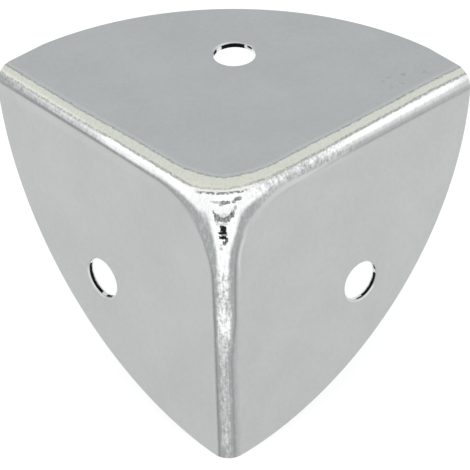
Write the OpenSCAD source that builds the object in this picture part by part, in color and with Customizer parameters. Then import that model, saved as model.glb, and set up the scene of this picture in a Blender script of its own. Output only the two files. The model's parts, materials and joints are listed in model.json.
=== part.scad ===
// Pressed metal corner protector for the corner of a case or a box.
// One piece of sheet with three flat faces, three small folds and a swept corner.
// The case corner is the origin: the case lies at +X, +Y and -Z, the metal outside it.

/* [Sheet] */
// Thickness of the sheet metal
sheet_t = 0.6; // [0.4:0.1:1]

/* [Faces] */
// Length of the two top folds, from the sharp outer corner to the free edge
top_leg = 30; // [26:0.5:45]
// Length of the upright fold, from the sharp outer corner to the free edge
upright_leg = 28; // [24:0.5:45]
// Width of the straight end of a top fold, from the outside of the side face
top_edge_w = 5.4; // [3.5:0.1:7]
// Height of the top face's arc over the line between its two ends
top_bulge = 6.2; // [4.5:0.1:7.5]
// Width of the straight end of a fold on a side face, from the outside of the next face
side_edge_w = 2.1; // [1.7:0.1:4]
// Height of a side face's arc over the line between its two ends
side_bulge = 7; // [4:0.1:8]

/* [Folds] */
// Outer radius of the three folds
fold_r = 1.6; // [1.2:0.1:2.4]
// Radius of the sweep by which two folds run together on a face, at the corner
corner_sweep_r = 7; // [4:0.5:10]

/* [Screw holes] */
// Diameter of the three screw holes
hole_d = 3.8; // [3:0.1:5]
// Distance of the top hole from the outside of each side face
top_hole_in = 16.8; // [12:0.1:19]
// Distance of a side hole from the outside of the other side face
side_hole_in = 16.4; // [12:0.1:19]
// Distance of a side hole below the outside of the top face
side_hole_down = 16.2; // [12:0.1:18]

/* [Hidden] */
// Facets across a fold, along a sweep, and over one side of the ball at the corner
fold_steps = 14;
sweep_steps = 12;
ball_steps = 12;
cutter_fn = 128;
// Centre of the sweep, and the ball that closes the corner, from the three outer planes
sweep_c = fold_r + corner_sweep_r;
ball_r = sweep_c - corner_sweep_r * cos(45);
// Size of the raw sheet, before its outlines are cut, and of the cutters
raw = top_leg + upright_leg;

// Until the last lines, a, b and c run inward from the sharp outer corner along the
// three folds: a and b along the top folds, c down the upright one.

// Radius of the fold at distance s along it: it grows into the corner on a round sweep
function fold_radius(s) =
    s >= sweep_c ? fold_r : sweep_c - sqrt(pow(corner_sweep_r, 2) - pow(sweep_c - s, 2));
// How fast that radius changes
function radius_slope(s) =
    s >= sweep_c ? 0 : -(sweep_c - s) / sqrt(pow(corner_sweep_r, 2) - pow(sweep_c - s, 2));

// Directions from the middle line of a fold to its surface, from one face to the other
function fold_direction(slope, i) =
    let (
        axis = [1, slope, slope] / sqrt(1 + 2 * slope * slope),
        lift = -slope / sqrt(1 + 2 * slope * slope) * axis,
        from = [0, -1, 0] - lift,
        to = [0, 0, -1] - lift,
        turn = acos(from * to / (norm(from) * norm(to))),
        part = i / fold_steps
    )
    lift + (from * sin((1 - part) * turn) + to * sin(part * turn)) / sin(turn);

// Stations along a fold: round the sweep, then one at the raw end
function stations(end) =
    concat([for (i = [0 : sweep_steps]) sweep_c - corner_sweep_r * sin(45 * (1 - i / sweep_steps))],
           [end]);

// Points of the fold that runs along a, on the skin that lies deep inside the outer one
function fold_points(deep, end) = [
    for (s = stations(end), i = [0 : fold_steps])
        let (r = fold_radius(s))
        [s, r, r] + (r - deep) * fold_direction(radius_slope(s), i)
];

// Points of the ball that closes the corner
function ball_points(deep) = [
    for (i = [0 : ball_steps], j = [0 : ball_steps - i])
        let (way = [i, j, ball_steps - i - j])
        ball_r * [1, 1, 1] - (ball_r - deep) * way / norm(way)
];

// The same points for the fold that comes next round the corner
function turned(points) = [for (p = points) [p.z, p.x, p.y]];

// Far corners of the three faces
function far_points(deep, end) = [[end, end, deep], [deep, end, end], [end, deep, end]];

// Solid bounded by the skin that lies deep inside the outer one
module skin(deep, end) {
    fold = fold_points(deep, end);
    points = concat(fold, turned(fold), turned(turned(fold)), ball_points(deep),
                    far_points(deep, end));
    hull()
        polyhedron(points, [[for (i = [0 : len(points) - 1]) i]]);
}

// Outline of the face square to c: an arc between the straight ends of its two folds,
// which reach edge_w onto the face
module face_outline(leg_1, leg_2, edge_w, bulge) {
    half = norm([leg_1 - edge_w, leg_2 - edge_w]) / 2;
    arc_r = (half * half + bulge * bulge) / (2 * bulge);
    out = [leg_2 - edge_w, leg_1 - edge_w] / (2 * half);
    middle = [leg_1 + edge_w, leg_2 + edge_w] / 2;
    strip_w = 0.83 * edge_w;
    intersection() {
        translate([-raw, -raw]) square([leg_1 + raw, leg_2 + raw]);
        union() {
            translate(middle - (arc_r - bulge) * out) circle(arc_r, $fn = cutter_fn);
            translate([-raw, -raw]) square([2 * raw, strip_w + raw]);
            translate([-raw, -raw]) square([strip_w + raw, 2 * raw]);
        }
    }
}

// Waste of that face: all that lies beyond its outline, as deep as its folds
module face_waste(leg_1, leg_2, edge_w, bulge) {
    translate([0, 0, -raw])
        linear_extrude(raw + fold_r)
            difference() {
                translate([-raw, -raw]) square(3 * raw);
                face_outline(leg_1, leg_2, edge_w, bulge);
            }
}

// Straight hole through the face square to c
module hole(in_1, in_2) {
    translate([in_1, in_2, -raw]) cylinder(h = 2 * raw, d = hole_d, $fn = cutter_fn);
}

// Turns what is square to c so that it is square to a
module square_to_a() {
    rotate([90, 0, 90]) children();
}

// Swaps a and b
module swapped() {
    mirror([1, -1, 0]) children();
}

// Turned and mirrored copies of what is square to c: on the face square to a, with c as
// its second way, and on the face square to b
module on_both_sides() {
    square_to_a() children();
    swapped() square_to_a() children();
}

module corner_protector() {
    color("silver")
    translate([-sheet_t, -sheet_t, sheet_t])
    mirror([0, 0, 1])
    difference() {
        skin(0, raw);
        skin(sheet_t, 2 * raw);
        face_waste(top_leg, top_leg, top_edge_w, top_bulge);
        on_both_sides() face_waste(top_leg, upright_leg, side_edge_w, side_bulge);
        hole(top_hole_in, top_hole_in);
        on_both_sides() hole(side_hole_in, side_hole_down);
    }
}

corner_protector();
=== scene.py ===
import json
import math
from collections import namedtuple

import bpy
import numpy as np
from bpy.props import FloatProperty, FloatVectorProperty, IntProperty, PointerProperty
from mathutils import Matrix, Vector


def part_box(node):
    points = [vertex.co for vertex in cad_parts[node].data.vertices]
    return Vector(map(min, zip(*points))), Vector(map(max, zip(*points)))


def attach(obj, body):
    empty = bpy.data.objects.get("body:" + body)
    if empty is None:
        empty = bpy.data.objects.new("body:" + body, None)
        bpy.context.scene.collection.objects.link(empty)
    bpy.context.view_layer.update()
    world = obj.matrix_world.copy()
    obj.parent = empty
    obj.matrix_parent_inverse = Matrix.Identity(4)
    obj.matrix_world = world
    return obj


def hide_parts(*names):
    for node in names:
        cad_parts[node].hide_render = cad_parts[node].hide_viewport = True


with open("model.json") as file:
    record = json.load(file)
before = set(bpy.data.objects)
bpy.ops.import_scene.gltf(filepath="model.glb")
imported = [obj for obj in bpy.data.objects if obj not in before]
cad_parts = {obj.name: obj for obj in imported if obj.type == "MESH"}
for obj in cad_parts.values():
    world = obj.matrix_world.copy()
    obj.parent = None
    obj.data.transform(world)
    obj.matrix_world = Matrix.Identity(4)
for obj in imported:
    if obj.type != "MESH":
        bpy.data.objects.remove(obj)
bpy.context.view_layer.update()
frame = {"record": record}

bl_info = {
    "name": "Metal Corner Protector",
    "version": (1, 0, 0),
    "blender": (4, 5, 0),
    "location": "3D View > Sidebar > Corner",
    "description": "Dresses the pressed corner protector and sets up its small studio",
    "category": "Object",
}

NODE = "corner_protector"
MM = 0.001
MOUNTS = {m["name"]: m for m in frame["record"]["mounts"]}
LOWEST, HIGHEST = (Vector(corner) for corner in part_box(NODE))


# Sizes and colours that a user can change

def size(name, description, default, low, high, digits=4):
    """A length in metres, with its limits."""
    return FloatProperty(name=name, description=description, default=default, min=low,
                         max=high, unit="LENGTH", precision=digits)


def tint(name, description, default):
    """A colour."""
    return FloatVectorProperty(name=name, description=description, default=default,
                               subtype="COLOR", size=3, min=0, max=1)


class SheetSizes(bpy.types.PropertyGroup):
    """Sizes of the pressed sheet, where the frame doesn't already give them"""

    thickness: size(
        "Sheet thickness", "Thickness of the sheet metal", -LOWEST.x, 0.0003, 0.0012)
    fold_radius: size(
        "Fold radius", "Outer radius of the three folds", 0.0016, 0.001, 0.003)
    sweep_radius: size(
        "Corner sweep", "Radius by which two folds run together on a face", 0.007, 0.003, 0.012)
    top_edge: size(
        "Top end width", "Straight end of a top fold, on the top face", 0.0054, 0.002, 0.008)
    top_bulge: size(
        "Top arc height", "Height of the top face's arc over its chord", 0.0062, 0.003, 0.01)
    side_edge: size(
        "Side end width", "Straight end of a fold, on a side face", 0.0021, 0.0017, 0.006)
    side_bulge: size(
        "Side arc height", "Height of a side face's arc over its chord", 0.007, 0.003, 0.01)
    edge_round: size(
        "Edge rounding", "Rounding of the sheared free edges", 0.00012, 0.00003, 0.00025, digits=5)
    hole_round: size(
        "Hole rounding", "Rounding of the punched holes", 0.00018, 0.00005, 0.00028, digits=5)
    press_depth: size(
        "Press line depth", "Depth of the die's line beside a fold", 0.000016, 0.0, 0.00005,
        digits=6)
    fold_steps: IntProperty(
        name="Fold steps", description="Facets across a fold", default=30, min=8, max=48)
    arc_steps: IntProperty(
        name="Arc steps", description="Facets along the free arc of a face",
        default=96, min=24, max=160)


class PlatingFinish(bpy.types.PropertyGroup):
    """Colours and roughness of the plated steel"""

    face_colour: tint("Faces", "Satin metal of the flat faces", (0.505, 0.51, 0.511))
    # The folds' colour is a painted highlight: the near-white reflection painted along the folds
    # where their shine share is high. The holes' walls take it where they carry no painted shade.
    fold_colour: tint(
        "Folds", "Bright metal that the press has burnished on the folds", (0.96, 0.965, 0.965))
    # The shoulders' colour is a painted reflection: the cream band along the upper half of each
    # top fold, painted on as colour.
    shoulder_colour: tint(
        "Shoulders", "Creamy plating on the upper half of the top folds", (0.775, 0.765, 0.685))
    # The flanks' colour is painted shade: the darker reflection where a fold runs out into a side
    # face. The dark crease marks at the corner mix it in as well.
    flank_colour: tint(
        "Flanks", "Dull metal where a fold runs out into a side face", (0.355, 0.365, 0.367))
    # The press lines' colour is painted shade in the thin dark lines beside and along the folds;
    # the die's line itself is real relief. The rubbed specks on the top face and the dark crease
    # marks take it too.
    line_colour: tint(
        "Press lines", "Duller metal in the lines beside the folds", (0.24, 0.25, 0.25))
    cut_colour: tint(
        "Sheared edges", "Dull sheared metal on the free edges", (0.27, 0.275, 0.28))
    # This colour is painted shade: the dark arcs on the holes' walls, and the painted dark
    # reflections in the small dents at the corner.
    torn_colour: tint(
        "Torn metal", "Dark torn metal in the holes and the pits", (0.016, 0.016, 0.018))
    face_roughness: FloatProperty(
        name="Face roughness", description="Roughness of the satin faces",
        default=0.36, min=0.1, max=0.8, subtype="FACTOR")
    fold_roughness: FloatProperty(
        name="Fold roughness", description="Roughness of the burnished folds",
        default=0.2, min=0.05, max=0.6, subtype="FACTOR")


class StudioSettings(bpy.types.PropertyGroup):
    """Floor, lamps and camera of the small studio"""

    floor_colour: tint("Floor", "Colour of the pale floor", (0.8, 0.8, 0.8))
    wall_colour: tint("Room", "Colour of the pale room round the floor", (0.84, 0.875, 0.88))
    front_level: FloatProperty(
        name="Front wall", description="Brightness of the wall in front of the corner",
        default=1.0, min=0.2, max=2)
    focal_length: FloatProperty(
        name="Focal length", description="Focal length of the camera, in millimetres",
        default=444.9, min=50, max=800)
    camera_distance: size(
        "Camera distance", "Distance from the camera to what it looks at", 0.5182, 0.1, 3)
    azimuth: FloatProperty(
        name="Azimuth", description="Angle of the camera round the corner",
        default=math.radians(-40.824), subtype="ANGLE")
    elevation: FloatProperty(
        name="Elevation", description="Angle of the camera above the horizon",
        default=math.radians(35.054), subtype="ANGLE")
    roll: FloatProperty(
        name="Roll", description="Tilt of the camera about its own line of sight",
        default=math.radians(-1.772), subtype="ANGLE")


# Shape of the sheet. Here a, b and c are millimetres inward from the sharp outer corner
# along the three folds: a and b along the top folds, c down the upright one. A face has
# the number of the axis that it is square to, and a fold that of the axis it runs along.

LEFT, RIGHT, TOP = 0, 1, 2
UPRIGHT = 2
SCREW_HOLES = ("left_screw_hole", "right_screw_hole", "top_screw_hole")

# Facets along a sweep, along a fold's straight end and down a rim, and the length of a
# facet along the rest of a fold
SWEEP_STEPS = 28
STUB_STEPS = 5
ROUND_STEPS = 4
WALL_STEPS = 3
STATION_GAP = 0.4

# Distances of the facet rings of a face from its folds and from its hole. They shrink
# where the way between the two is less than RING_ROOM times their reach.
FOLD_RINGS = (0.06, 0.12, 0.18, 0.25, 0.33, 0.43, 0.58, 0.8, 1.1, 1.6, 2.3)
HOLE_RINGS = (2.4, 1.4, 0.8, 0.45, 0.2)
MIDDLE_RINGS = 8
RING_ROOM = 1.6

# How strongly the die marks the metal beside the top face and beside a side face, where
# across a top fold the one gives way to the other, and the line's place and spread
TOP_PRESS = 0.35
SIDE_PRESS = 1.0
PRESS_CHANGES = (0.4, 0.6)
PRESS_LINE_AT = -0.12
PRESS_LINE_SPREAD = 0.17
# Border distance of the points on the corner ball, which the die's line doesn't reach
FAR_FROM_FACES = -2.0


def unit(vector):
    """Vector of length one along a vector."""
    vector = np.asarray(vector, dtype=float)
    return vector / np.linalg.norm(vector)


class Folds:
    """The law of the three folds: a round one that grows on a sweep into the corner ball."""

    def __init__(self, sizes):
        self.radius = sizes.fold_radius / MM
        self.sweep = sizes.sweep_radius / MM
        self.steps = sizes.fold_steps
        self.middle = self.radius + self.sweep
        self.ball = self.middle - self.sweep * math.sqrt(0.5)

    def radius_at(self, s):
        """Radius of a fold at distance s along it, and how fast it changes."""
        if s >= self.middle:
            return self.radius, 0.0
        away = self.middle - s
        rise = math.sqrt(self.sweep ** 2 - away ** 2)
        return self.middle - rise, -away / rise

    def section(self, s):
        """Points across the fold at distance s: place, outward way, way towards the nearer
        face, signed distance from that face's border, and share of the fold's turn."""
        r, slope = self.radius_at(s)
        long_way = unit([1, slope, slope])
        lift = -slope / math.sqrt(1 + 2 * slope * slope) * long_way
        start, end = np.array([0, -1, 0]) - lift, np.array([0, 0, -1]) - lift
        turn = math.acos(start @ end / (start @ start))
        rows = []
        for i in range(self.steps + 1):
            part = i / self.steps
            first, last = math.sin((1 - part) * turn), math.sin(part * turn)
            out = lift + (start * first + end * last) / math.sin(turn)
            across = unit(end * math.cos(part * turn) - start * math.cos((1 - part) * turn))
            if part < 0.5:
                across = -across
            border = -min(part, 1 - part) * turn * r * np.linalg.norm(start)
            rows.append((np.array([s, r, r]) + r * out, out, across, border, part))
        return rows

    def stations(self, leg):
        """Distances along a fold, from the corner ball to its free end."""
        swept = [self.middle - self.sweep * math.sin(math.pi / 4 * (1 - i / SWEEP_STEPS))
                 for i in range(SWEEP_STEPS)]
        count = 1 + round((leg - self.middle) / STATION_GAP)
        return swept + list(np.linspace(self.middle, leg, count))

    def border(self, p, q):
        """Distance of a face's point from the border of its nearer fold, and the way in."""
        dp, dq = self.middle - p, self.middle - q
        if dp > 0 and dq > 0:
            far = math.hypot(dp, dq)
            return self.sweep - far, (dp / far, dq / far)
        if p < q:
            return p - self.radius, (1.0, 0.0)
        return q - self.radius, (0.0, 1.0)


# A point of the outer skin: its place and outward way, the way across to the nearer face,
# the distance from that face's border, the die's strength and the radius of the fold
Point = namedtuple("Point", "place out across border press radius")


class Sheet:
    """Points and facets of the outer skin, welded where its patches meet."""

    def __init__(self):
        self.index = {}
        self.points = []
        self.facets = []
        self.rims = []

    def point(self, place, out, across, *values):
        """Number of a point, made if it isn't there yet."""
        key = tuple(round(float(v), 4) + 0.0 for v in place)
        if key not in self.index:
            self.index[key] = len(self.points)
            ways = (np.array(v, dtype=float) for v in (place, out, across))
            self.points.append(Point(*ways, *values))
        return self.index[key]

    def grid(self, rows):
        """Facets between rows of point numbers."""
        for low, high in zip(rows, rows[1:]):
            for k in range(len(low) - 1):
                self.facets.append((low[k], low[k + 1], high[k + 1], high[k]))


def turned(vector, axis):
    """A vector written for the fold along a, for the fold along another axis."""
    return np.roll(vector, axis)


def press_weight(axis, part):
    """How strongly the die marks a fold, by the share of its turn."""
    if axis == UPRIGHT:
        return SIDE_PRESS
    top_part = part if axis == 0 else 1 - part
    return float(np.interp(top_part, PRESS_CHANGES, (SIDE_PRESS, TOP_PRESS)))


def add_folds(sheet, folds, legs, inset):
    """The three folds, and the rim points at their free ends."""
    ends = {}
    for axis in range(3):
        rows = []
        for s in folds.stations(legs[axis] - inset):
            row = []
            for place, out, across, border, part in folds.section(s):
                row.append(sheet.point(
                    turned(place, axis), turned(out, axis), turned(across, axis), border,
                    press_weight(axis, part), folds.radius_at(s)[0]))
            rows.append(row)
        sheet.grid(rows)
        outward = turned(np.array([1.0, 0, 0]), axis)
        ends[axis] = [(number, outward) for number in rows[-1]]
    return ends


def add_corner(sheet, folds):
    """The ball that closes the corner, blended from the three circles that bound it."""
    n = folds.steps
    centre = np.full(3, folds.ball)
    circle = [row[1] for row in folds.section(folds.ball)]
    # Corner k of the patch lies on the face square to axis k
    corner = -np.eye(3)

    def on_border(weights):
        """Outward way on the patch's border, from whole weights of which one is none."""
        if max(weights) == n:
            return corner[weights.index(n)]
        missing = weights.index(0)
        return turned(circle[weights[(missing + 2) % 3]], missing)

    def split(weights, k):
        """Straight blend between the two borders that meet a line of equal weight k."""
        one, two = (k + 1) % 3, (k + 2) % 3
        rest = n - weights[k]
        first, second = [0, 0, 0], [0, 0, 0]
        first[k] = second[k] = weights[k]
        first[one] = second[two] = rest
        return (weights[one] * on_border(first) + weights[two] * on_border(second)) / rest

    rows = []
    for i in range(n + 1):
        row = []
        for j in range(n + 1 - i):
            weights = [i, j, n - i - j]
            if 0 in weights:
                out = unit(on_border(weights))
            else:
                flat = sum(w * way for w, way in zip(weights, corner)) / n
                out = unit(sum(split(weights, k) for k in range(3)) - flat)
            row.append(sheet.point(centre + folds.ball * out, out, (0, 0, 0),
                                   FAR_FROM_FACES, SIDE_PRESS, folds.ball))
        rows.append(row)
    for i in range(n):
        for j in range(n - i):
            sheet.facets.append((rows[i][j], rows[i][j + 1], rows[i + 1][j]))
            if j < n - i - 1:
                sheet.facets.append((rows[i][j + 1], rows[i + 1][j + 1], rows[i + 1][j]))


def outline(fold_r, leg_p, leg_q, edge, bulge, steps):
    """Free edge of a face, from the fold along p to the fold along q: points and outward
    ways. Straight ends stand across the folds, and a round arc joins them."""
    chord = np.array([leg_q - edge, leg_p - edge])
    half = np.linalg.norm(chord) / 2
    arc_r = (half * half + bulge * bulge) / (2 * bulge)
    centre = np.array([leg_p + edge, leg_q + edge]) / 2 - (arc_r - bulge) * chord / (2 * half)
    start = math.atan2(edge - centre[1], leg_p - centre[0])
    end = math.atan2(leg_q - centre[1], edge - centre[0])
    along_p, along_q = np.array([1.0, 0.0]), np.array([0.0, 1.0])
    stub = [fold_r + (edge - fold_r) * k / STUB_STEPS for k in range(1, STUB_STEPS)]
    points = [(np.array([leg_p, v]), along_p) for v in stub]
    for k in range(steps + 1):
        angle = start + (end - start) * k / steps
        way = np.array([math.cos(angle), math.sin(angle)])
        outward = way
        if k == 0:
            outward = unit(way + along_p)
        elif k == steps:
            outward = unit(way + along_q)
        points.append((centre + arc_r * way, outward))
    points += [(np.array([v, leg_q]), along_q) for v in reversed(stub)]
    return points


def add_face(sheet, folds, face, legs, edge, bulge, hole, hole_r, inset, hole_inset, steps):
    """A flat face: rings of points from its border to its screw hole."""
    axis_p, axis_q = [axis for axis in range(3) if axis != face]
    leg_p, leg_q = legs[axis_p], legs[axis_q]
    out = -np.eye(3)[face]
    press = TOP_PRESS if face == TOP else SIDE_PRESS

    def lift(p, q):
        """A pair of the face's own distances or ways, in the sheet's space."""
        place = np.zeros(3)
        place[axis_p], place[axis_q] = p, q
        return place

    def number(place):
        """Number of a point of the face."""
        p, q = place[axis_p], place[axis_q]
        border, way = folds.border(p, q)
        return sheet.point(place, out, lift(*way), border, press,
                           folds.radius_at(max(p, q))[0])

    free = [(lift(*(point - inset * way)), lift(*way))
            for point, way in outline(folds.radius, leg_p, leg_q, edge, bulge, steps)]
    contact_p = [lift(s, folds.radius_at(s)[0]) for s in folds.stations(leg_p - inset)]
    contact_q = [lift(folds.radius_at(s)[0], s) for s in folds.stations(leg_q - inset)]
    centre = lift(*hole)
    columns = []
    for place in contact_p + [place for place, way in free] + contact_q[:0:-1]:
        ray = centre - place
        length = np.linalg.norm(ray) - hole_r - hole_inset
        ray = unit(ray)
        scale = min(1.0, length / (RING_ROOM * (FOLD_RINGS[-1] + HOLE_RINGS[0])))
        low, high = scale * FOLD_RINGS[-1], length - scale * HOLE_RINGS[0]
        steps_in = [0.0] + [scale * v for v in FOLD_RINGS]
        steps_in += [low + (high - low) * i / MIDDLE_RINGS for i in range(1, MIDDLE_RINGS)]
        steps_in += [length - scale * v for v in HOLE_RINGS] + [length]
        columns.append([number(place + ray * v) for v in steps_in])
    sheet.grid(columns + [columns[0]])
    hole_rim = [(column[-1], unit(centre - sheet.points[column[-1]].place))
                for column in columns]
    edge_rim = [(column[0], way)
                for column, (place, way) in zip(columns[len(contact_p):], free)]
    return edge_rim, hole_rim


def build_sheet(sizes):
    """The outer skin with its rims, in millimetres from the sharp outer corner."""
    folds = Folds(sizes)
    legs = tuple((HIGHEST - LOWEST) / MM)
    thick = sizes.thickness / MM
    inset, hole_inset = sizes.edge_round / MM, sizes.hole_round / MM
    sheet = Sheet()
    ends = add_folds(sheet, folds, legs, inset)
    add_corner(sheet, folds)
    edges, holes = [], []
    for face, name in enumerate(SCREW_HOLES):
        x, y, z = (v / MM for v in MOUNTS[name]["pos_m"])
        place = (x + thick, y + thick, thick - z)
        hole = [place[k] for k in range(3) if k != face]
        edge, bulge = ((sizes.top_edge, sizes.top_bulge) if face == TOP
                       else (sizes.side_edge, sizes.side_bulge))
        edge_rim, hole_rim = add_face(
            sheet, folds, face, legs, edge / MM, bulge / MM, hole,
            MOUNTS[name]["dims"]["r_mm"], inset, hole_inset, sizes.arc_steps)
        edges.append(edge_rim)
        holes.append(hole_rim)
    # The free edge runs once round: top face, left fold's end, left face and so on
    loop = edges[TOP] + ends[1] + edges[LEFT] + ends[2] + edges[RIGHT][::-1] + ends[0]
    sheet.rims = [(loop, inset)] + [(rim, hole_inset) for rim in holes]
    return sheet, thick


# Painted light along each fold: how strongly its painted highlight shows, how far that
# highlight is mottled, flecks in its darker parts, and where the shoulder's painted cream
# reflection and the crest begin. Every list holds pairs of the distance from the sharp
# corner in millimetres and the value there.
# Distances across a fold are shares of its width, from the top face or the one named.
SHINE = {
    0: ((4, 1.0), (4.8, 0.85), (5.8, 0.5), (9, 0.38), (12, 0.5), (15, 0.8), (17, 1.0),
        (27, 0.95), (30, 0.6)),
    1: ((15, 1.0), (17, 0.6), (20, 0.5), (25, 0.4), (27, 0.28), (29, 0.06)),
    2: ((6.5, 1.0), (8, 0.72), (11, 0.5), (13, 0.8), (14.1, 0.75), (14.7, 0.45),
        (18, 0.28), (24, 0.26), (26, 0.32), (27.3, 0.1)),
}
MOTTLE = {
    0: ((4, 0.1), (6, 0.8), (13, 0.8), (16, 0.1), (30, 0.15)),
    1: ((15, 0.1), (18, 0.15), (30, 0.2)),
    2: ((4, 0.1), (7, 0.3), (8.5, 1.0), (13, 1.0), (15, 0.8)),
}
FLECKS = {
    0: ((13, 0.5), (17, 0.15)),
    1: ((4, 0.5),),
    2: ((4, 0.5),),
}
SHOULDER = {
    0: ((3, 0.158), (4, 0.168), (6, 0.15), (9, 0.1), (12, 0.1), (16, 0.15), (26, 0.13),
        (30, 0.18)),
    1: ((3, 0.158), (4, 0.168), (6, 0.15), (9, 0.1), (13, 0.14), (17, 0.2), (20, 0.25),
        (30, 0.28)),
}
CREST = {
    0: ((2.1, 0.35), (3, 0.365), (4, 0.405), (5, 0.42), (6.5, 0.46), (9, 0.48),
        (13, 0.48), (16, 0.46), (26, 0.43), (30, 0.47)),
    1: ((2.1, 0.35), (2.8, 0.37), (3.7, 0.43), (4.6, 0.485), (6, 0.485), (9, 0.47),
        (12, 0.5), (15, 0.5), (17, 0.55), (20, 0.57)),
}
# Painted light where a fold runs out into a side face: where its painted highlight ends and
# over how many millimetres, the highlight left in its flank, the place and strength of the
# painted dark line (painted shade), where the flat face begins, its painted pale highlight
# rim. A place below 0 is on the face, in millimetres.
FLANKS = {
    (1, LEFT): {
        "edge": ((4, 0.26), (9, 0.19), (14, 0.19), (17, 0.22), (21, 0.23), (25, 0.27)),
        "fade": ((4, 0.15),),
        "dull": ((4, 0.0),),
        "dark_at": ((4, 0.1), (9, 0.08), (17, 0.12), (30, 0.1)),
        "dark": ((4, 0.1), (6, 0.6), (14, 0.7), (17, 0.95), (26, 0.95), (30, 0.4)),
        "flat_at": ((4, 0.0),),
        "rim": ((6, 0.0), (9, 0.08), (17, 0.15), (27, 0.15), (30, 0.05))},
    (2, LEFT): {
        "edge": ((4, 0.34), (5.5, 0.37), (8, 0.34), (13, 0.29), (15, 0.33), (17, 0.36)),
        "fade": ((4, 0.15),),
        "dull": ((4, 0.03),),
        "dark_at": ((4, 0.05), (6, 0.07), (8, 0.15), (13, 0.17), (28, 0.19)),
        "dark": ((4, 0.25), (6, 0.4), (8, 0.9), (13, 1.0), (15, 0.85), (17, 0.9)),
        "flat_at": ((4, 0.0), (6, -0.04), (8, 0.0), (13, 0.06)),
        "rim": ((4, 0.0), (9, 0.06))},
    (0, RIGHT): {
        "edge": ((4, 0.28), (6, 0.24), (9, 0.2), (17, 0.23), (30, 0.24)),
        "fade": ((13, 0.15), (17, 0.36), (30, 0.4)),
        "dull": ((4, 0.05), (6, 0.2), (13, 0.22), (17, 0.1)),
        "dark_at": ((4, -0.3), (7, -0.5), (9.5, -0.5), (14, -0.2), (19, -0.12)),
        "dark": ((4, 0.0), (6, 0.1), (9, 0.22), (14, 0.32), (19, 0.45), (24, 0.45), (27, 0.3)),
        "flat_at": ((4, 0.05), (8, 0.05), (14, -0.1), (18, -0.42)),
        "rim": ((4, 0.15), (7, 0.4), (10, 0.5), (14, 0.25), (17, 0.0))},
    (2, RIGHT): {
        "edge": ((4, 0.24), (5.5, 0.27), (7, 0.28), (9, 0.26), (13, 0.24), (15, 0.28),
                 (17, 0.43)),
        "fade": ((4, 0.15),),
        "dull": ((4, 0.0),),
        "dark_at": ((4, 0.12), (6, 0.06), (8, 0.0), (13, 0.05), (15, 0.14), (17, 0.25)),
        "dark": ((4, 0.0), (6, 0.65), (9, 0.85), (13, 0.7), (16, 0.55)),
        "flat_at": ((4, 0.06), (6, -0.1), (8, -0.4), (13, -0.3), (17, -0.1)),
        "rim": ((4, 0.3), (5, 0.75), (7, 0.75), (9, 0.2), (12, 0.0))},
}
# How far each fold's painted pale highlight rims reach onto the side faces, their
# softness, and how many reaches they fade over
RIM_REACH = {0: 0.4, 1: 0.55, 2: 0.1}
RIM_SOFT = 0.1
RIM_TAIL = 1.6
# Spread of the painted dark line, least width of the change to the flat face, and the
# length over which the upright fold takes over round the corner
LINE_SPREAD = 0.12
FLAT_CHANGE = 0.2
TAKE_OVER = 2.4
# Share of a turn past which a face's flank has no say, and a flank's painted highlight below which
# it counts as dull
FLANK_END = 0.9
DULL_SHINE = 0.5
# How far the noise stirs the shine: with the mottle, and everywhere
MOTTLE_STIR = 2.4
EVEN_STIR = 0.22
# Distance from the shoulder and the crest where there are none
NO_SHOULDER = 9.0
TINY = 1e-6


def at(knots, s):
    """Value of a list of knots at distance s."""
    return float(np.interp(s, [k[0] for k in knots], [k[1] for k in knots]))


def flank_paint(fold, face, x, s, width):
    """Painted highlight, flatness, painted dark line and painted pale highlight rim where a fold
    runs out into a side face.
    """
    made = {name: at(knots, s) for name, knots in FLANKS[fold, face].items()}
    far, end, line, near = (v * width if v > 0 else v for v in (
        x, made["edge"], made["dark_at"], made["flat_at"]))
    shine = np.interp(far, (end - made["fade"], end + made["fade"]), (made["dull"], 1.0))
    flat = 1 - np.interp(far, (near, max(line, near + FLAT_CHANGE)), (0.0, 1.0))
    dark = made["dark"] * math.exp(-((far - line) / LINE_SPREAD) ** 2)
    reach = RIM_REACH[fold]
    rim = made["rim"] * np.interp(
        far, (near - RIM_TAIL * reach - RIM_SOFT, near - reach, near - RIM_SOFT / 2,
              near + RIM_SOFT), (0.0, 1.0, 1.0, 0.0))
    return shine, flat, dark, rim


def place_paint(point):
    """The painted light at one point of the outer skin: its painted highlight and the noise on it,
    the painted dark line and pale highlight rim, and where the shoulder's painted cream reflection
    and the crest begin.
    """
    place, border = point.place, point.border
    fold = int(np.argmax(place))
    s = place[fold]
    share = [2 / math.pi * math.acos(min(1.0, max(0.0, -v))) for v in point.out]
    if border > 0:
        share = [-border if v < TINY else 1 + border for v in share]
    width = math.pi / 2 * point.radius
    made = {"shoulder": NO_SHOULDER, "crest": NO_SHOULDER}
    if fold != UPRIGHT:
        over = share[TOP] if share[TOP] < 0 else share[TOP] * width
        made["shoulder"] = over - at(SHOULDER[fold], s) * width
        made["crest"] = over - at(CREST[fold], s) * width
    shine, flat, dark, rim = at(SHINE[fold], s), 0.0, 0.0, 0.0
    for face, beside in ((LEFT, 1), (RIGHT, 0)):
        if fold == face or share[face] > FLANK_END:
            continue
        past = (place[UPRIGHT] - place[beside]) / TAKE_OVER
        lean = min(1.0, max(0.0, 0.5 + past))
        one = flank_paint(beside, face, share[face], place[beside], width)
        two = flank_paint(UPRIGHT, face, share[face], place[UPRIGHT], width)
        here = [(1 - lean) * v + lean * w for v, w in zip(one, two)]
        shine = min(shine, here[0]) if here[0] < DULL_SHINE else shine * here[0]
        flat, dark, rim = max(flat, here[1]), max(dark, here[2]), max(rim, here[3])
    stir = (shine * (MOTTLE_STIR * at(MOTTLE[fold], s) + EVEN_STIR)
            + (1 - shine) * at(FLECKS[fold], s))
    made.update(shine=shine, stir=stir, flat=flat, dark=dark, rim=rim)
    return made


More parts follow.
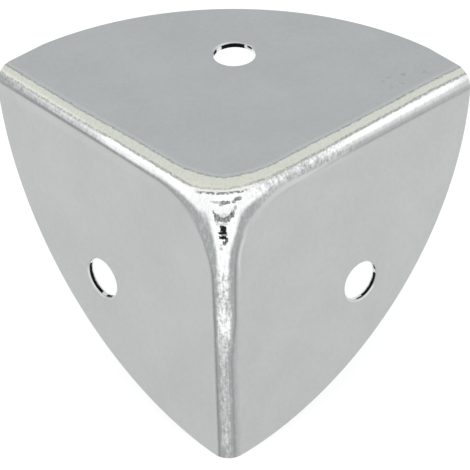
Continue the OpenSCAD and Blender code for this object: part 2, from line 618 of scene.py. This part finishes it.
def press_line(border, weight, depth):
    """Height of the die's line at a distance from a face's border, and its slope."""
    off = border - PRESS_LINE_AT
    fall = depth * weight * math.exp(-(off / PRESS_LINE_SPREAD) ** 2)
    return -fall, fall * 2 * off / PRESS_LINE_SPREAD ** 2


def skin_points(sheet, thick, depth):
    """Places and ways of the points of the outer skin, then of the inner one."""
    places, ways = [], []
    for point in sheet.points:
        height, slope = press_line(point.border, point.press, depth)
        places.append(point.place + height * point.out)
        ways.append(unit(point.out - slope * point.across))
    places += [point.place - thick * point.out for point in sheet.points]
    ways += [-point.out for point in sheet.points]
    return places, ways


def rim_profile(thick, inset):
    """Section of a sheared rim, from the outer skin to the inner one: how far out, how far
    down, and the rim's outward way there."""
    burr = inset / 2
    turn = [math.pi / 2 * k / ROUND_STEPS for k in range(1, ROUND_STEPS + 1)]
    rows = [(-inset + inset * math.sin(a), inset - inset * math.cos(a),
             math.sin(a), math.cos(a)) for a in turn]
    rows += [(0.0, inset + (thick - inset - burr) * k / WALL_STEPS, 1.0, 0.0)
             for k in range(1, WALL_STEPS + 1)]
    rows += [(-burr + burr * math.cos(a), thick - burr + burr * math.sin(a),
              math.cos(a), -math.sin(a)) for a in turn]
    return rows


# Painted shade on the walls of the left, the right and the top hole, as dark arcs: from and
# to, in degrees round the face, and the share of the thickness. The rest of each wall takes
# the folds' bright colour.
SHADED_ARCS = (
    ((-20, 80, 0.72), (97, 122, 0.8)),
    ((-28, -9, 0.55), (3, 80, 0.72), (80, 103, 0.5)),
    ((20, 86, 1.2), (105, 128, 0.9), (-8, 11, 0.55)),
)
# How soft the borders of the painted shade arcs are, in degrees and as a share of the thickness
SHADED_ARC_TURN = 2
SHADED_ARC_DEPTH = 0.1
# How dull a sheared edge is near the outer skin and below, and where this changes
EDGE_DULL = (0.15, 0.85)
EDGE_CHANGES = (0.3, 0.6)
# How far a rim looks up where its wall begins, and where a hole's lip begins
WALL_UP = 0.3
LIP_UP = 0.95


def wall_shade(hole, centre_way, deep):
    """How much painted shade a hole's wall carries, by the way to the hole's centre and the share
    of depth.
    """
    p, q = [-v for k, v in enumerate(centre_way) if k != hole]
    angle = math.degrees(math.atan2(q, p))
    dark = 0.0
    for start, end, share in SHADED_ARCS[hole]:
        turn = (angle - start + 180) % 360 - 180
        last = end - start
        along = np.interp(turn, (-SHADED_ARC_TURN, SHADED_ARC_TURN, last - SHADED_ARC_TURN, last + SHADED_ARC_TURN),
                          (0.0, 1.0, 1.0, 0.0))
        down = np.interp(deep, (share - SHADED_ARC_DEPTH, share + SHADED_ARC_DEPTH), (1.0, 0.0))
        dark = max(dark, along * down)
    return dark


def rim_paint(hole, outward, deep, share_up):
    """What a rim's point carries of its own. Where there is no hole, it is the free edge."""
    made = {"inner": float(share_up < 0), "wall": float(share_up < WALL_UP)}
    if hole is None:
        free = float(np.interp(deep, EDGE_CHANGES, EDGE_DULL))
        return dict(made, lip=0.0, cut=0.0, free=free)
    # On a hole's rim, lip marks the rounding that takes a painted pale highlight, and cut carries
    # the share of painted shade on the wall.
    lip = float(WALL_UP < share_up < LIP_UP)
    return dict(made, lip=lip, cut=wall_shade(hole, outward, deep), free=0.0)


def sheet_mesh(sheet, thick, depth):
    """Closed mesh of the sheet in the row's frame, in metres, with its paint."""
    places, ways = skin_points(sheet, thick, depth)
    count = len(sheet.points)
    outer = [dict(place_paint(point), inner=0.0, wall=0.0, lip=0.0, cut=1.0, free=EDGE_DULL[0])
             for point in sheet.points]
    worked = outer + [dict(point, inner=1.0, free=EDGE_DULL[1]) for point in outer]
    facets = sheet.facets + [tuple(v + count for v in facet) for facet in sheet.facets]
    for hole, (rim, inset) in zip((None, LEFT, RIGHT, TOP), sheet.rims):
        profile = rim_profile(thick, inset)
        strips = []
        for number, outward in rim:
            place, out = sheet.points[number][:2]
            strip = [number]
            for far, deep, share_out, share_up in profile:
                strip.append(len(places))
                places.append(place + (far + inset) * outward - deep * out)
                ways.append(unit(share_out * outward + share_up * out))
                worked.append(dict(outer[number],
                                   **rim_paint(hole, outward, deep / thick, share_up)))
            strips.append(strip + [number + count])
        for one, two in zip(strips, strips[1:] + strips[:1]):
            if one[0] == two[0]:
                continue
            for k in range(len(one) - 1):
                facets.append((one[k], one[k + 1], two[k + 1], two[k]))
    flip = np.array([1, 1, -1])
    places = (np.array(places) - thick) * flip * MM
    paint = {name: [point[name] for point in worked] for name in worked[0]}
    return places, np.array(ways) * flip, facets, paint


def outward_facets(places, ways, facets):
    """The facets, each wound so that it faces the way of its points."""
    wound = []
    for facet in facets:
        facet = [v for k, v in enumerate(facet) if v != facet[k - 1]]
        corners = places[facet]
        normal = sum(np.cross(corners[k - 1], corners[k]) for k in range(len(facet)))
        if normal @ ways[facet].sum(axis=0) < 0:
            facet = facet[::-1]
        wound.append(facet)
    return wound


class Value:
    """A node's output, which can stand in a sum. The sum makes its own nodes."""

    def __init__(self, shader, socket):
        self.shader, self.socket = shader, socket

    def __add__(self, other):
        return self.shader.math("ADD", self, other)

    def __sub__(self, other):
        return self.shader.math("SUBTRACT", self, other)

    def __rsub__(self, other):
        return self.shader.math("SUBTRACT", other, self)

    def __mul__(self, other):
        return self.shader.math("MULTIPLY", self, other)

    def __truediv__(self, other):
        return self.shader.math("DIVIDE", self, other)

    def __abs__(self):
        return self.shader.math("ABSOLUTE", self)

    def soft(self, low, high):
        """A soft step from none at low to full at high. Low may be the larger."""
        ends = (low, high, 0.0, 1.0) if low < high else (high, low, 1.0, 0.0)
        return self.shader.value("ShaderNodeMapRange", 0, self, *ends,
                                 interpolation_type="SMOOTHSTEP")


class Shader:
    """Nodes of a material or of the world, with short calls that add and join them."""

    def __init__(self, owner):
        owner.use_nodes = True
        self.tree = owner.node_tree
        self.tree.nodes.clear()

    def join(self, value, socket):
        """Give a socket a number, a colour or way, or the output of another node."""
        if isinstance(value, (int, float)):
            socket.default_value = value
        elif isinstance(value, tuple):
            socket.default_value = (*value, 1.0)[:len(socket.default_value)]
        else:
            self.tree.links.new(value.socket if isinstance(value, Value) else value, socket)

    def node(self, kind, *fed, **values):
        """A node with its settings, and its sockets fed in order or by name."""
        made = self.tree.nodes.new(kind)
        for name, value in values.items():
            if hasattr(made, name):
                setattr(made, name, value)
            else:
                self.join(value, made.inputs[name.replace("_", " ")])
        for value, socket in zip(fed, made.inputs):
            self.join(value, socket)
        return made

    def value(self, kind, output, *fed, **values):
        """One output of a new node."""
        return Value(self, self.node(kind, *fed, **values).outputs[output])

    def math(self, operation, one, two=0.0, clamp=False):
        """Output of a Math node."""
        return self.value("ShaderNodeMath", 0, one, two, operation=operation, use_clamp=clamp)

    def mix(self, factor, one, two, kind="RGBA"):
        """Mix of two colours or, of kind FLOAT, of two values."""
        first, out = {"RGBA": (6, 2), "FLOAT": (2, 0)}[kind]
        made = self.node("ShaderNodeMix", factor, data_type=kind, clamp_factor=True)
        self.join(one, made.inputs[first])
        self.join(two, made.inputs[first + 1])
        return Value(self, made.outputs[out])

    def noise(self, space, scale, detail, roughness):
        """Noise over a space, scale in cells for each metre."""
        return self.value("ShaderNodeTexNoise", "Fac", Vector=space, Scale=scale,
                          Detail=detail, Roughness=roughness)


# What the mesh carries for each point. Most of it steers painted light: shine, stir and rim a
# painted highlight, dark a painted shade line, shoulder and crest the painted cream reflection,
# lip a painted highlight, cut the painted shade in the holes
CARRIED = "shoulder crest shine stir flat dark rim inner wall lip cut free".split()
# Noises of the finish: cells for each metre, detail and roughness
NOISES = {
    "cloud": (160, 3.0, 0.55),
    "patch": (420, 1.0, 0.5),
    "rubbed": (1100, 3.0, 0.6),
    "ragged": (2400, 3.0, 0.6),
    "fine": (2600, 2.0, 0.7),
    "speck": (3600, 2.0, 0.65),
    "scuffed": (4600, 2.0, 0.6),
    "grain": (5200, 2.0, 0.6),
    "pitted": (6500, 1.0, 0.5),
}
STREAKS = (4200, 1.0, 0.5)
STREAK_STRETCH = (1.0, 1.0, 0.3)
# Soft steps: where each begins and is full. The last six are in millimetres.
CLOUDED = (0.3, 0.7)
RUBBED_OFF = (0.6, 0.72)
CREAMY = (0.35, 0.65)
LIPPED = (0.45, 0.6)
DRAWN = (0.3, 0.7)
HALF = (0.4, 0.6)
ANY = (0.0, 0.02)
MARKED = (1.7, 0.8)
ON_CREAM = (-0.05, 0.05)
ON_FOLD = (-0.1, 0.1)
PALE_BAND = (0.3, 0.05)
PAST_CREST = (0.02, 0.16)
VEILED = (0.55, 0.42)
CORNER = (2.5, 1.8)
# Thin painted dark lines (painted shade) along the folds: place and soft width in
# millimetres, how specks break them, and strength. Of the two at the crest, the second is
# only round the corner.
EDGE_LINE = (-0.08, (0.17, 0.03), (0.38, 0.6), 0.5)
FIRST_LINE = (0.0, (0.17, 0.06), (0.25, 0.6))
SECOND_LINE = (0.45, (0.17, 0.06), (0.38, 0.5))
FIRST_STRENGTH = 0.65
FIRST_WEAKER = 0.2
# Place and strength of the painted highlight band above the edge line, and the veil of the top's
# painted cream reflection over the corner
BAND_AT = -0.3
BAND = 0.3
VEIL = 0.45
# How far the borders of the shoulder and the crest wander, in millimetres
SHOULDER_WANDER = 0.42
CREST_WANDER = 0.3
# Darkest and palest shade of faces and of the painted cream reflection, the painted
# highlight's shade of rims, lips and the band, the shade of the dark crease marks, and
# the cloudy share of a face's unevenness
FACE_SHADES = (0.95, 1.045)
CREAM_SHADES = (0.95, 1.02)
PAINTED_HIGHLIGHT = 1.35
DULL = 0.6
CLOUDY = 0.55
# Rubbed specks near the right-hand end of the top face, in metres
RUBBED_AT = (0.0246, 0.0027, 0.0006)
RUBBED_REACH = (0.0034, 0.001)
RUBBED = 0.55
# The painted dark line in a flank: its least strength, and how much ragged noise adds
DARK_LEAST = 0.4
DARK_RAGGED = 1.2
# How ragged the borders of the dark marks, of the painted shade arcs in the holes and of the
# sheared edges are
MARK_RAGGED = 4.2
SHADED_ARC_RAGGED = 0.8
EDGE_RAGGED = 0.9
# Roughness that noise adds to the faces and to the folds, and that sheared walls add
FACE_UNEVEN = 0.06
FOLD_UNEVEN = 0.08
WALL_ROUGHER = 0.3
# Relief: the grain and the dents of the dark marks as shares of the folds' orange peel, and its
# height
GRAIN = 0.25
DENTED = 1.5
PEEL_HEIGHT = 0.000012

# Dark marks on the corner, each dented in the relief with a painted dark reflection on it:
# small creases, then small dents. In millimetres: middle across and in height, reach across
# and in height, strength and, where it has one, bend
DARK_CREASES = (
    (-0.15, -0.77, 0.7, 0.09, 0.6),
    (0.35, -0.78, 0.42, 0.12, 0.95),
    (-0.02, -0.95, 0.2, 0.07, 0.7),
    (1.45, -0.66, 0.3, 0.12, 0.9, 0.3),
    (1.12, -0.76, 0.2, 0.1, 0.8),
    (0.18, -1.86, 0.5, 0.26, 0.3),
    (0.22, -2.13, 0.86, 0.19, 0.95, 0.65),
    (-0.38, -2.0, 0.2, 0.32, 0.95),
    (0.98, -1.68, 0.17, 0.3, 0.95),
    (1.22, -1.25, 0.13, 0.16, 0.6),
    (0.1, -2.5, 0.55, 0.1, 0.4),
)
DARK_DENTS = (
    (0.02, -2.72, 0.16, 0.11, 0.9),
    (0.2, -2.95, 0.25, 0.27, 1.0),
    (0.12, -3.28, 0.36, 0.11, 1.0),
    (0.26, -3.48, 0.3, 0.11, 0.65),
    (0.17, -3.68, 0.36, 0.14, 1.0),
    (0.46, -3.9, 0.14, 0.24, 0.85),
    (0.28, -4.2, 0.16, 0.18, 0.8),
    (0.0, -4.36, 0.1, 0.09, 0.4),
    (-0.02, -4.72, 0.13, 0.12, 0.45),
)


class PlatedSteel(Shader):
    """Plated sheet steel: satin faces, folds with a painted highlight, a painted cream reflection
    and painted dark lines, sheared edges, and painted shade on the holes' walls.
    """

    def __init__(self, finish):
        self.material = bpy.data.materials.new("plated_steel")
        super().__init__(self.material)
        self.finish = finish
        self.space = self.node("ShaderNodeTexCoord").outputs["Object"]
        # Carried values and noises keep their names
        for name in CARRIED:
            setattr(self, name, self.value("ShaderNodeAttribute", "Fac", attribute_name=name))
        for name, values in NOISES.items():
            setattr(self, name, self.noise(self.space, *values))
        stretched = self.node("ShaderNodeMapping", Vector=self.space, Scale=STREAK_STRETCH)
        streaky = self.noise(stretched.outputs[0], *STREAKS)
        self.fleck = (self.speck - 0.5) + (streaky - 0.5)
        self.wander = self.ragged - 0.5
        self.shoulder += self.wander * SHOULDER_WANDER
        self.crest += self.wander * CREST_WANDER
        self.outside = 1.0 - self.inner
        # Millimetres across the corner, and in height
        x, y, z = (self.value("ShaderNodeSeparateXYZ", k, self.space) for k in "XYZ")
        self.across = (x - y) * (math.sqrt(0.5) / MM)
        self.height = z * (1 / MM)
        self.face = self.faces()
        self.dress()

    def shade(self, name, share=1.0):
        """A colour of the finish, made darker or paler."""
        return tuple(min(1.0, share * v) for v in getattr(self.finish, name + "_colour"))

    def faces(self):
        """Flat faces: a little cloudy, with a few rubbed specks on the top one."""
        uneven = self.cloud * CLOUDY + self.fine * (1 - CLOUDY)
        face = self.mix(uneven.soft(*CLOUDED), *(self.shade("face", v) for v in FACE_SHADES))
        away = self.value("ShaderNodeVectorMath", "Value", self.space, RUBBED_AT,
                          operation="DISTANCE")
        rubbed = self.rubbed.soft(*RUBBED_OFF) * away.soft(*RUBBED_REACH) * RUBBED
        return self.mix(rubbed, face, self.shade("line"))

    def folds(self):
        """Folds: a painted highlight with flecks, painted shade in the flanks with a painted dark
        line, and painted pale highlight rims.
        """
        shine = self.math("ADD", self.shine, self.fleck * self.stir, clamp=True)
        fold = self.mix(shine, self.shade("flank"), self.shade("fold"))
        fold = self.mix(self.flat, fold, self.face)
        fold = self.mix(self.rim, fold, self.shade("face", PAINTED_HIGHLIGHT))
        dark = self.dark * (self.ragged * DARK_RAGGED + DARK_LEAST)
        return self.mix(dark, fold, self.shade("line"))

    def line(self, value, place, width, breaks, strength):
        """A thin painted dark line (painted shade) along a fold, broken by specks."""
        return abs(value - place).soft(*width) * self.speck.soft(*breaks) * strength

    def top(self):
        """The top face and the shoulder's painted cream reflection, each behind a thin painted
        dark line, with a painted highlight band on the face.
        """
        band = abs(self.shoulder - BAND_AT).soft(*PALE_BAND) * BAND
        face = self.mix(band, self.face, self.shade("face", PAINTED_HIGHLIGHT))
        face = self.mix(self.line(self.shoulder, *EDGE_LINE), face, self.shade("line"))
        cream = self.mix(self.speck.soft(*CREAMY),
                         *(self.shade("shoulder", v) for v in CREAM_SHADES))
        return self.mix(self.shoulder.soft(*ON_CREAM), face, cream)

    def outer_skin(self):
        """The top, then the folds below it, with the broken painted dark lines at the crest."""
        corner = abs(self.across).soft(*CORNER)
        veil = corner * self.crest.soft(*VEILED) * VEIL
        below = self.crest.soft(*PAST_CREST) * (1.0 - veil)
        colour = self.mix(below, self.top(), self.folds())
        first = FIRST_STRENGTH - corner * FIRST_WEAKER
        for line, strength in ((FIRST_LINE, first), (SECOND_LINE, corner)):
            line = self.line(self.crest, *line, strength)
            colour = self.mix(line, colour, self.shade("line"))
        return colour

    def mark(self, blotch, across, height, wide, tall, strength, bend=0.0):
        """A short dark mark on the corner. A bend lifts its two ends."""
        off = self.across - across
        rise = self.height - (off * off * bend + height)
        wide = off / wide
        wide = wide * wide
        tall = rise / ((abs(off) * abs(bend) + 1.0) * tall)
        far = wide * wide + tall * tall + (blotch - 0.5) * MARK_RAGGED
        return far.soft(*MARKED) * self.outside * strength

    def marked(self, colour):
        """A colour with the dark marks painted over it, and where they are."""
        dented = 0.0
        # The marks are painted dark reflections on small creases and dents: dim metal on the
        # creases, near black in the dents. The relief dents them as well.
        dull = self.mix(self.pitted.soft(*HALF), self.shade("flank"), self.shade("line", DULL))
        for marks, colour_there, blotch in ((DARK_CREASES, dull, self.scuffed),
                                            (DARK_DENTS, self.shade("torn"), self.pitted)):
            for mark in marks:
                here = self.mark(blotch, *mark)
                dented = self.math("MAXIMUM", here, dented)
                colour = self.mix(here, colour, colour_there)
        return colour, dented

    def sheared(self):
        """Walls of the holes, with their painted shade arcs, and of the free edges."""
        # Painted shade on the holes' walls: dark arcs where the mesh carries them, the folds'
        # bright colour elsewhere
        torn = self.cut + self.wander * SHADED_ARC_RAGGED
        wall = self.mix(torn.soft(*HALF), self.shade("fold"), self.shade("torn"))
        drawn = self.free + self.fleck * EDGE_RAGGED
        edge = self.mix(drawn.soft(*DRAWN), self.face, self.shade("cut"))
        return self.mix(self.free.soft(*ANY), wall, edge)

    def dress(self):
        """Join colour, roughness and relief in one metal."""
        colour = self.mix(self.inner, self.outer_skin(), self.face)
        colour, dented = self.marked(colour)
        # A painted pale highlight on the rounded lips of the holes
        lip = self.lip * self.patch.soft(*LIPPED)
        colour = self.mix(lip, colour, self.shade("face", PAINTED_HIGHLIGHT))
        colour = self.mix(self.wall.soft(*HALF), colour, self.sheared())
        on_fold = self.shoulder.soft(*ON_FOLD) * (1.0 - self.flat) * self.outside
        face = self.cloud * FACE_UNEVEN + (self.finish.face_roughness - FACE_UNEVEN / 2)
        fold = self.speck * FOLD_UNEVEN + (self.finish.fold_roughness - FOLD_UNEVEN / 2)
        rough = self.mix(on_fold, face, fold, kind="FLOAT") + self.wall * WALL_ROUGHER
        relief = self.grain * GRAIN + self.speck * on_fold - dented * DENTED
        bump = self.node("ShaderNodeBump", Strength=1.0, Distance=PEEL_HEIGHT, Height=relief)
        metal = self.node("ShaderNodeBsdfPrincipled", Metallic=1.0, Base_Color=colour,
                          Roughness=rough, Normal=bump.outputs[0])
        self.node("ShaderNodeOutputMaterial", metal.outputs[0])


class CORNER_OT_protector(bpy.types.Operator):
    """Build the pressed sheet with its folds, screw holes and plated finish"""

    bl_idname = "corner.protector"
    bl_label = "Corner protector"

    def execute(self, context):
        sizes = context.scene.corner_sheet
        sheet, thick = build_sheet(sizes)
        places, ways, facets, painted = sheet_mesh(sheet, thick, sizes.press_depth / MM)
        mesh = bpy.data.meshes.new("pressed_sheet")
        mesh.from_pydata(places.tolist(), [], outward_facets(places, ways, facets))
        if mesh.validate():
            raise RuntimeError("the sheet's mesh has faulty facets")
        for name, values in painted.items():
            layer = mesh.attributes.new(name, "FLOAT", "POINT")
            layer.data.foreach_set("value", values)
        mesh.shade_smooth()
        mesh.normals_split_custom_set_from_vertices(ways.tolist())
        mesh.materials.append(PlatedSteel(context.scene.corner_finish).material)
        piece = bpy.data.objects.new("pressed_sheet", mesh)
        context.scene.collection.objects.link(piece)
        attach(piece, "root")
        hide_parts(NODE)
        return {"FINISHED"}


# The studio, in metres. The floor shows by its glow and by a share of its own colour.
FLOOR_REACH = 1.6
FLOOR_SIDES = 64
FLOOR_GLOW = 0.82
FLOOR_SHADE = 0.32
# Way to the bright front wall, and the soft step by which it begins
FRONT_WAY = (-0.656, -0.755, 0.0)
FRONT_STEP = (-0.05, 0.3)
# Soft panel lamps: azimuth and elevation in degrees, distance, width and height, and the
# brightness of them all, where 1 is white
LAMPS = {
    "back_left_panel": (135, 20, 0.5, 0.45, 0.22),
    "front_right_panel": (-50, 21, 0.5, 0.45, 0.24),
    "front_panel": (229, 50, 0.9, 0.6, 0.6),
}
LAMP_LEVEL = 0.25
# The camera's aim, how far the picture's middle is right of it and below it, and the
# nearest and the furthest that it sees
AIM = (0.0094, 0.0094, -0.0094)
AIM_RIGHT = 0.000333
AIM_DOWN = 0.002537
CLIP = (0.05, 20.0)


def floor_material(colour):
    """Pale floor: it shows white to the eye and in metal, and keeps a soft shadow."""
    material = bpy.data.materials.new("pale_floor")
    floor = Shader(material)
    plain = floor.node("ShaderNodeBsdfDiffuse", Color=colour)
    shade = floor.node("ShaderNodeBsdfDiffuse", Color=tuple(FLOOR_SHADE * v for v in colour))
    glow = floor.node("ShaderNodeEmission", Color=(1.0, 1.0, 1.0), Strength=FLOOR_GLOW)
    shown = floor.node("ShaderNodeAddShader", shade.outputs[0], glow.outputs[0])
    path = floor.node("ShaderNodeLightPath").outputs
    seen = floor.math("MAXIMUM", path["Is Camera Ray"], path["Is Glossy Ray"])
    seen = floor.math("MAXIMUM", seen, path["Is Transmission Ray"])
    choice = floor.node("ShaderNodeMixShader", seen, plain.outputs[0], shown.outputs[0])
    floor.node("ShaderNodeOutputMaterial", choice.outputs[0])
    return material


def add_floor(colour):
    """A round floor just under the piece."""
    turns = [2 * math.pi * k / FLOOR_SIDES for k in range(FLOOR_SIDES)]
    ring = [(FLOOR_REACH * math.cos(turn), FLOOR_REACH * math.sin(turn), LOWEST.z)
            for turn in turns]
    mesh = bpy.data.meshes.new("floor")
    mesh.from_pydata(ring, [], [list(range(FLOOR_SIDES))])
    mesh.materials.append(floor_material(colour))
    floor = bpy.data.objects.new("floor", mesh)
    bpy.context.scene.collection.objects.link(floor)


def add_lamp(name, azimuth, elevation, distance, width, height):
    """A soft panel lamp that looks at the corner."""
    lamp = bpy.data.lights.new(name, "AREA")
    lamp.shape = "RECTANGLE"
    lamp.size, lamp.size_y = width, height
    lamp.energy = LAMP_LEVEL * math.pi * width * height
    piece = bpy.data.objects.new(name, lamp)
    a, e = math.radians(azimuth), math.radians(elevation)
    way = Vector((math.cos(a) * math.cos(e), math.sin(a) * math.cos(e), math.sin(e)))
    piece.location = distance * way
    piece.rotation_mode = "QUATERNION"
    piece.rotation_quaternion = way.to_track_quat("Z", "Y")
    bpy.context.scene.collection.objects.link(piece)


def set_room(colour, front_level):
    """A pale room: a plain ceiling and back wall, and a bright wall in front."""
    world = bpy.data.worlds.new("pale_room")
    bpy.context.scene.world = world
    room = Shader(world)
    way = room.node("ShaderNodeTexCoord").outputs["Generated"]
    front = room.value("ShaderNodeVectorMath", "Value", way, FRONT_WAY,
                       operation="DOT_PRODUCT")
    shown = room.mix(front.soft(*FRONT_STEP), colour, (front_level,) * 3)
    light = room.node("ShaderNodeBackground", Color=shown, Strength=1.0)
    room.node("ShaderNodeOutputWorld", light.outputs[0])


def set_camera(studio):
    """Camera that sees the corner as the photograph does."""
    a, e, r = studio.azimuth, studio.elevation, studio.roll
    back = Vector((math.sin(a) * math.cos(e), -math.cos(a) * math.cos(e), math.sin(e)))
    right = (-back).cross(Vector((0, 0, 1))).normalized()
    down = right.cross(back)
    turn_right = math.cos(r) * right - math.sin(r) * down
    turn_down = math.sin(r) * right + math.cos(r) * down
    aim = Vector(AIM) + AIM_RIGHT * turn_right + AIM_DOWN * turn_down
    data = bpy.data.cameras.new("camera")
    data.lens = studio.focal_length
    data.clip_start, data.clip_end = CLIP
    camera = bpy.data.objects.new("camera", data)
    matrix = Matrix((turn_right, -turn_down, back)).transposed().to_4x4()
    matrix.translation = aim + studio.camera_distance * back
    camera.matrix_world = matrix
    bpy.context.scene.collection.objects.link(camera)
    bpy.context.scene.camera = camera


class CORNER_OT_studio(bpy.types.Operator):
    """Set up the pale floor, the soft lamps and the camera"""

    bl_idname = "corner.studio"
    bl_label = "Studio"

    def execute(self, context):
        studio = context.scene.corner_studio
        add_floor(tuple(studio.floor_colour))
        set_room(tuple(studio.wall_colour), studio.front_level)
        for name, values in LAMPS.items():
            add_lamp(name, *values)
        set_camera(studio)
        context.scene.view_settings.view_transform = "Standard"
        return {"FINISHED"}


class CORNER_PT_panel(bpy.types.Panel):
    """Lists the piece and the studio with their settings"""

    bl_idname = "CORNER_PT_panel"
    bl_label = "Corner protector"
    bl_space_type = "VIEW_3D"
    bl_region_type = "UI"
    bl_category = "Corner"

    def draw(self, context):
        scene = context.scene
        for operator, groups in (
                ("corner.protector", (scene.corner_sheet, scene.corner_finish)),
                ("corner.studio", (scene.corner_studio,))):
            box = self.layout.box()
            box.operator(operator)
            for group in groups:
                for name in group.__annotations__:
                    box.prop(group, name)


GROUPS = {"corner_sheet": SheetSizes, "corner_finish": PlatingFinish,
          "corner_studio": StudioSettings}
CLASSES = (*GROUPS.values(), CORNER_OT_protector, CORNER_OT_studio, CORNER_PT_panel)


def register():
    for cls in CLASSES:
        bpy.utils.register_class(cls)
    for name, group in GROUPS.items():
        setattr(bpy.types.Scene, name, PointerProperty(type=group))


def unregister():
    for name in GROUPS:
        delattr(bpy.types.Scene, name)
    for cls in reversed(CLASSES):
        bpy.utils.unregister_class(cls)


def main():
    """Registers the add-on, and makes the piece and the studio."""
    register()
    bpy.ops.corner.protector()
    bpy.ops.corner.studio()


if __name__ == "__main__":
    main()
